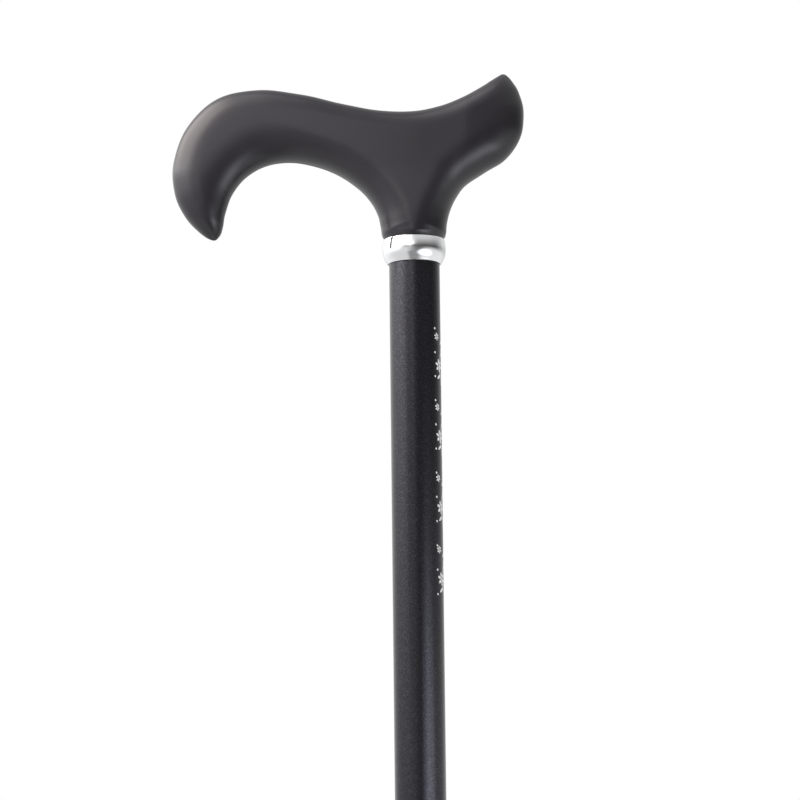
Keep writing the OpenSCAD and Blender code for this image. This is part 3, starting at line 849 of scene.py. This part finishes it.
# The slanted arm leaves the bend as a tangent, so the bend stops short of half a turn by its tilt
reach_y, reach_z = bend_y - knee[0], bend_z - knee[1]
tilt = math.atan2(reach_y, reach_z) - math.asin(SPRING_BEND_R / math.hypot(reach_y, reach_z))
hairpin = arc((bend_y, bend_z), SPRING_BEND_R, 0, 180 - math.degrees(tilt), 25)


def straight(start, end, steps):
    """Points from start to just before end, at equal steps."""
    share = np.linspace(0, 1, steps, endpoint=False)[:, None]
    return np.asarray(start) + (np.asarray(end) - np.asarray(start)) * share


spring_line = np.vstack([
    straight((back_y, spring_low.z), hairpin[0], 30), hairpin[:-1], straight(hairpin[-1], knee, 40),
    straight(knee, (front_y, spring_low.z), 12), [[front_y, spring_low.z]],
])
print("front arm leans by", round(math.degrees(tilt), 1), "degrees")

# %% [markdown]
# ## A bent strip
#
# A flat section with round edges, carried along that line, makes the strip. A rigid strip would cut
# through the button when that is pressed. This one is built once at rest, baked into place and rides on no
# body.

# %% Sweep the leaf spring


def strip(line, width, thick):
    """Round-edged strip along a line in the YZ plane.

    The section's first axis is X and its second axis is the line's normal. Each end closes to
    the line's own last point.
    """
    along = np.gradient(line, axis=0)
    along = along / np.linalg.norm(along, axis=1)[:, None]
    edge = (width - thick) / 2
    section = np.vstack([
        arc((edge, 0), thick / 2, -90, 90, 9), arc((-edge, 0), thick / 2, 90, 270, 9),
        [[edge, -thick / 2]],
    ])
    x = np.broadcast_to(section[None, :, 0], (len(line), len(section)))
    y = line[:, 0][:, None] - along[:, 1][:, None] * section[None, :, 1]
    z = line[:, 1][:, None] + along[:, 0][:, None] * section[None, :, 1]
    grid = np.stack([x, y, z], axis=-1)
    ends = np.insert(line[[0, -1]], 0, 0.0, axis=1)[:, None, :] + 0 * grid[[0, -1]]
    return np.concatenate([ends[:1], grid, ends[1:]])


spring = make_piece(
    "leaf_spring", [strip(spring_line, spring_high.x - spring_low.x, SPRING_T)], SPRING_STEEL,
    None,
)
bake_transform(spring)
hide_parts("button_spring")

# %% [markdown]
# ## Weld beads
#
# Each leg is welded to the hub where the two tubes cross. The seam follows the line on which
# both surfaces meet: for a direction round the leg, the height and the sideways offset are
# known, and the hub's circle gives the distance from its axis. A small round profile is swept
# along that line, with ripples where the welder stepped on.

# %% Weld the legs to the hub
LEG_R, BEAD_R = 8.0 * MM, 1.3 * MM
RIPPLES, RIPPLE_DEPTH = 26, 0.12
LEG_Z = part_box(LEGS[0])[1].z - LEG_R


def bead(tip):
    """Tube swept along the crossing of the hub and the leg that runs to a tip.

    Where the leg's wall is aside of its middle plane, the hub's wall is out of its axis by the
    root of R squared minus aside squared.
    """
    a = np.linspace(0, 2 * np.pi, 6 * RIPPLES + 1)[:, None]
    b = np.linspace(0, 2 * np.pi, 17)[None, :]
    out = np.sqrt(HUB_R ** 2 - (LEG_R * np.cos(a)) ** 2)
    thick = BEAD_R * (1 + RIPPLE_DEPTH * np.abs(np.sin(RIPPLES * a / 2)))
    grow = LEG_R + thick * np.cos(b)
    aside, height = grow * np.cos(a), grow * np.sin(a)
    out = out + thick * np.sin(b)
    low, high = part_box(tip)
    dx, dy = (low + high).xy.normalized()
    return np.stack([out * dx - aside * dy, out * dy + aside * dx, LEG_Z + height], axis=-1)


make_piece("weld_beads", [bead(tip) for tip in TIPS], POWDER_COAT, "base")

# %% [markdown]
# ## Studio floor
#
# The cane stands on a plain pale floor. Near the cane the floor keeps its shadow. Further out it
# glows a little by itself, so that it runs into the white background without a horizon. The
# shiny parts don't see it, because they get a room of their own below.

# %% Floor
FLOOR_R, FLOOR_DROP = 9.0, 0.5 * MM
GLOW_FROM, GLOW_TO, FLOOR_GLOW = 0.3, 1.6, 0.75


def floor_finish():
    """Matt pale paint with faint clouds, which glows more the further it is from the cane."""
    material, tree, shader = start_finish("matt_floor_paint", Roughness=0.9)
    place = add(tree, "ShaderNodeTexCoord").outputs["Object"]
    cloud = add(tree, "ShaderNodeTexNoise", {"Vector": place, "Scale": per_metre(500)})
    tree.links.new(
        colour_steps(tree, cloud.outputs["Fac"], (0.3, "#eeeeee"), (0.7, "#f2f2f2")),
        shader.inputs["Base Color"],
    )
    away = add(tree, "ShaderNodeVectorMath", {0: place}, operation="LENGTH")
    lift = add(
        tree, "ShaderNodeMapRange",
        {"Value": away.outputs["Value"], "From Min": GLOW_FROM, "From Max": GLOW_TO, "To Max": FLOOR_GLOW},
        interpolation_type="SMOOTHSTEP",
    )
    shader.inputs["Emission Color"].default_value = (1, 1, 1, 1)
    tree.links.new(lift.outputs["Result"], shader.inputs["Emission Strength"])
    return material


disc = np.array([[0.0, -FLOOR_DROP], [FLOOR_R, -FLOOR_DROP]])
floor_mesh = bpy.data.meshes.new("floor")
floor_grid = revolve(disc, 96)
floor_mesh.from_pydata(
    floor_grid.reshape(-1, 3).tolist(), [], grid_faces(*floor_grid.shape[:2]).tolist(),
)
floor_mesh.materials.append(floor_finish())
floor = bpy.data.objects.new("floor", floor_mesh)
floor.visible_glossy = False
bpy.context.scene.collection.objects.link(floor)
print("floor", 2 * FLOOR_R, "m across")

# %% [markdown]
# ## World
#
# The background is white: the world shows plain white to the camera, to mirrors and to glass.
# To everything else it gives a softer fill light, so that the cane isn't flooded. A Light Path
# node tells which kind of ray asks.

# %% World
FILL = 0.6
world = bpy.data.worlds.new("white_studio")
bpy.context.scene.world = world
world.use_nodes = True
sky = world.node_tree
path = add(sky, "ShaderNodeLightPath")
seen = add(
    sky, "ShaderNodeMath", {0: path.outputs["Is Camera Ray"], 1: path.outputs["Is Glossy Ray"]},
    operation="MAXIMUM",
)
seen = add(
    sky, "ShaderNodeMath", {0: seen.outputs["Value"], 1: path.outputs["Is Transmission Ray"]},
    operation="MAXIMUM",
)
fill = add(sky, "ShaderNodeBackground", {"Color": (1, 1, 1, 1), "Strength": FILL})
white = add(sky, "ShaderNodeBackground", {"Color": (1, 1, 1, 1), "Strength": 1.0})
blend = add(
    sky, "ShaderNodeMixShader",
    {0: seen.outputs["Value"], 1: fill.outputs["Background"], 2: white.outputs["Background"]},
)
sky.links.new(blend.outputs["Shader"], sky.nodes["World Output"].inputs["Surface"])
print("world", world.name, "with a fill of", FILL)

# %% [markdown]
# ## Lamps
#
# Two area lamps act as softboxes: a small one at the upper left, which shapes the handle, and a
# large one overhead. They light matt surfaces only. In the shiny ones a lamp would show as a
# hard white square, so the reflections are made in the next step.

# %% Softbox lamps
AIM = Vector((-0.02, 0.0, 0.62))


def facing(place, target):
    """Turn that points an object's -Z axis from place to target."""
    return (Vector(target) - Vector(place)).to_track_quat("-Z", "Y").to_matrix().to_4x4()


def softbox(name, place, width, height, watts):
    """Rectangular area lamp that faces the handle and that no reflection shows."""
    lamp = bpy.data.lights.new(name, "AREA")
    lamp.shape = "RECTANGLE"
    lamp.size, lamp.size_y = width, height
    lamp.energy = watts
    box = bpy.data.objects.new(name, lamp)
    box.matrix_world = Matrix.Translation(place) @ facing(place, AIM)
    box.visible_camera = False
    box.visible_glossy = False
    bpy.context.scene.collection.objects.link(box)


softbox("softbox_left", (-0.4, -0.32, 1.0), width=0.3, height=0.3, watts=6)
softbox("softbox_top", (-0.5, 0.2, 2.0), width=1.2, height=1.2, watts=6)

# %% [markdown]
# ## A room for the reflections
#
# Black lacquer and chrome look like what they reflect. In a photographer's studio that is a
# bright softbox on one side, a dim room around the camera, and a paler ceiling and floor. Here
# a glowing surface stands for each. Only reflections see these surfaces: they light nothing,
# cast no shadow and stay out of the picture. Each point of the mesh carries its own brightness
# as an attribute, so soft transitions need no image.

# %% Glowing surfaces


def glow_piece(name, grid, glow, tint, see_through=False):
    """Emitting stage surface, seen by reflections only. Glow is a brightness for each point."""
    mesh = bpy.data.meshes.new(name)
    mesh.from_pydata(grid.reshape(-1, 3).tolist(), [], grid_faces(*grid.shape[:2]).tolist())
    layer = mesh.attributes.new("glow", "FLOAT", "POINT")
    layer.data.foreach_set("value", glow.ravel())
    mesh.shade_smooth()
    material = bpy.data.materials.new(name)
    material.use_nodes = True
    tree = material.node_tree
    tree.nodes.clear()
    level = add(tree, "ShaderNodeAttribute", attribute_name="glow")
    shine = add(tree, "ShaderNodeEmission", {"Color": colour(tint), "Strength": level.outputs["Fac"]})
    clear = add(tree, "ShaderNodeBsdfTransparent")
    both = add(tree, "ShaderNodeAddShader", {0: shine.outputs["Emission"], 1: clear.outputs["BSDF"]})
    surface = both.outputs["Shader"] if see_through else shine.outputs["Emission"]
    add(tree, "ShaderNodeOutputMaterial", {"Surface": surface})
    mesh.materials.append(material)
    piece = bpy.data.objects.new(name, mesh)
    piece.visible_camera = piece.visible_diffuse = piece.visible_shadow = False
    piece.visible_transmission = False
    bpy.context.scene.collection.objects.link(piece)
    print(name, "glows up to", round(float(glow.max()), 2))


print("glow helper ready")

# %% [markdown]
# ## Light levels of the room
#
# The room is a dome round the cane. A direction in it is a turn, 0 towards the camera and growing
# to the right, and a rise above the horizon. The levels change with the turn at four heights:
# on the floor, below the eye, at the eye and on the ceiling. Just above the eye the light steps
# up, which draws the crisp line along the handle's upper edge.

# %% Light levels of the room
TURN = np.linspace(-125, 235, 181)[:, None]
RISE = np.linspace(-89, 89, 179)[None, :]
# Rises in degrees: start and run of the step, the eye level's top, and start and run of the floor
STEP_RISE, STEP_RUN, EYE_TOP, FLOOR_RISE, FLOOR_RUN = 12, 4, 10, -12, 10


def by_turn(*levels):
    """Level at every turn, straight between pairs of a turn in degrees and a level."""
    turns, values = zip(*levels)
    return np.interp(TURN, turns, values)


def mix(a, b, share):
    """From a to b by a share."""
    return a + (b - a) * share


floor_level = by_turn(
    (-125, 1.0), (-90, 0.8), (-32, 0.75), (-18, 0.3), (15, 0.3), (40, 0.9), (235, 1.0),
)
below_eye = by_turn(
    (-125, 1.0), (-80, 0.8), (-30, 0.8), (-20, 0.65), (-8, 0.4), (4, 0.28), (12, 0.19), (25, 0.2),
    (60, 0.9), (140, 0.9), (165, 0.8), (185, 0.4), (205, 1.0), (235, 1.0),
)
eye_level = by_turn(
    (-125, 1.2), (-90, 1.75), (-70, 1.9), (-55, 1.5), (-42, 0.75), (-30, 0.5), (-14, 0.7), (-8, 0.46),
    (-2, 0.25), (4, 0.15), (15, 0.11), (30, 0.08), (80, 0.08), (95, 0.16), (110, 0.34), (130, 0.6),
    (165, 0.7), (185, 0.4), (205, 1.1), (235, 1.2),
)
step_gain = by_turn(
    (-125, 1.2), (-95, 2.6), (-50, 3.0), (-30, 3.9), (0, 3.9), (15, 0.6), (200, 0.2), (235, 1.2),
)
ceiling = by_turn(
    (-125, 1.4), (-100, 1.8), (-28, 1.5), (-14, 1.5), (-5, 0.85), (5, 0.7), (130, 0.7), (160, 0.45),
    (205, 0.6), (235, 1.4),
)
eye_bottom = by_turn((-60, -14), (-35, -8))
ceiling_rise, ceiling_run = by_turn((-5, 17), (12, 10)), by_turn((-5, 8), (12, 22))
eye_level = eye_level * (1 + step_gain * smooth((RISE - STEP_RISE) / STEP_RUN))
room_glow = mix(below_eye, eye_level, smooth((RISE - eye_bottom) / (EYE_TOP - eye_bottom)))
room_glow = mix(room_glow, ceiling, smooth((RISE - ceiling_rise) / ceiling_run))
room_glow = mix(room_glow, floor_level, smooth((FLOOR_RISE - RISE) / FLOOR_RUN))
print("room levels from", round(float(room_glow.min()), 2), "to", round(float(room_glow.max()), 2))

# %% [markdown]
# ## Dome and softbox
#
# The dome carries the levels of the room. The softbox is a second, see-through dome just inside
# it, which glows only in a window at the upper left. It is a little warm, as tungsten light is
# beside daylight, and its soft edges keep the highlight on the nose from ending in a line.

# %% Hang the dome and the softbox
ROOM_R, ROOM_Z = 0.9, 0.65
SOFTBOX_GLOW, SOFTBOX_INSIDE = 4.4, 0.98


def dome(radius):
    """Ball round the cane: x = R sin t cos r, y = -R cos t cos r, z = R sin r, for turn t and rise r."""
    turn, rise = np.radians(TURN), np.radians(RISE)
    points = np.stack([
        np.sin(turn) * np.cos(rise), -np.cos(turn) * np.cos(rise),
        np.broadcast_to(np.sin(rise), (TURN.size, RISE.size)),
    ], axis=-1)
    return radius * points + np.array([0, 0, ROOM_Z])


def window(value, low, low_run, high, high_run):
    """1 between two limits and 0 outside, with soft edges that run inwards from the limits."""
    return smooth((value - low) / low_run) * smooth((high - value) / high_run)


softbox_glow = SOFTBOX_GLOW * window(TURN, -132, 25, -28, 28) * window(RISE, 16, 15, 76, 30)
glow_piece("dim_room", dome(ROOM_R), room_glow, "#ffffff")
glow_piece("softbox_cloth", dome(SOFTBOX_INSIDE * ROOM_R), softbox_glow, "#fff4ec", see_through=True)

# %% [markdown]
# ## Bounce card
#
# A bounce card at the lower right gives the edges under the fingers and the right side of the
# tube their soft highlight. It is a bent, see-through sheet that glows in its middle and fades to
# nothing at its rim, so no hard edge shows. It is slightly blue, as daylight from a window is.

# %% Bounce card
CARD_R, CARD_Z, CARD_HALF_H = 0.5, 0.45, 0.2
CARD_TURN, CARD_HALF_TURN = 42, 38
CARD_GLOW, CARD_EVEN, CARD_LIFT = 3.8, 0.9, 0.22
card_u, card_v = np.meshgrid(np.linspace(-1, 1, 17), np.linspace(-1, 1, 25), indexing="ij")
card_turn = np.radians(CARD_TURN + CARD_HALF_TURN * card_u)
card = np.stack([
    CARD_R * np.sin(card_turn), -CARD_R * np.cos(card_turn), CARD_Z + CARD_HALF_H * card_v,
], axis=-1)
card_glow = CARD_GLOW * smooth(1 - np.hypot(card_u, card_v)) * (CARD_EVEN + CARD_LIFT * card_v)
glow_piece("bounce_card", card, card_glow, "#f0f3ff", see_through=True)

# %% [markdown]
# ## Camera
#
# The picture was taken from a little below the handle, with a long lens. The camera stands
# 2.1 m away, looks up by about 9 degrees and is rolled by a fraction of a degree. Its right, up
# and backward directions are the columns of its matrix.

# %% Camera
PITCH = math.radians(9.2)
ROLL = math.radians(-0.64)
DISTANCE = 2.1
FRAME_WIDTH = 0.358
CENTRE_X, CENTRE_DOWN = -7.15 * MM, 73 * MM
CENTRE = Vector((CENTRE_X, 0.0, NECK_Z - CENTRE_DOWN))
forward = Vector((0, math.cos(PITCH), math.sin(PITCH)))
level_up = Vector((0, -math.sin(PITCH), math.cos(PITCH)))
level_right = Vector((1, 0, 0))
right = math.cos(ROLL) * level_right + math.sin(ROLL) * level_up
up = -math.sin(ROLL) * level_right + math.cos(ROLL) * level_up
eye = CENTRE - DISTANCE * forward
lens = bpy.data.cameras.new("camera")
lens.sensor_width = 36.0
lens.lens = lens.sensor_width * DISTANCE / FRAME_WIDTH
lens.clip_start, lens.clip_end = 0.05, 100.0
camera = bpy.data.objects.new("camera", lens)
camera.matrix_world = Matrix((
    (right.x, up.x, -forward.x, eye.x),
    (right.y, up.y, -forward.y, eye.y),
    (right.z, up.z, -forward.z, eye.z),
    (0, 0, 0, 1),
))
bpy.context.scene.collection.objects.link(camera)
bpy.context.scene.camera = camera
print("camera at", [round(v, 3) for v in eye], "lens", round(lens.lens, 1), "mm")

# %% [markdown]
# ## Finish
#
# Colours are shown as they are, without a film look.

# %% Show the colours as they are
bpy.context.scene.view_settings.view_transform = "Standard"
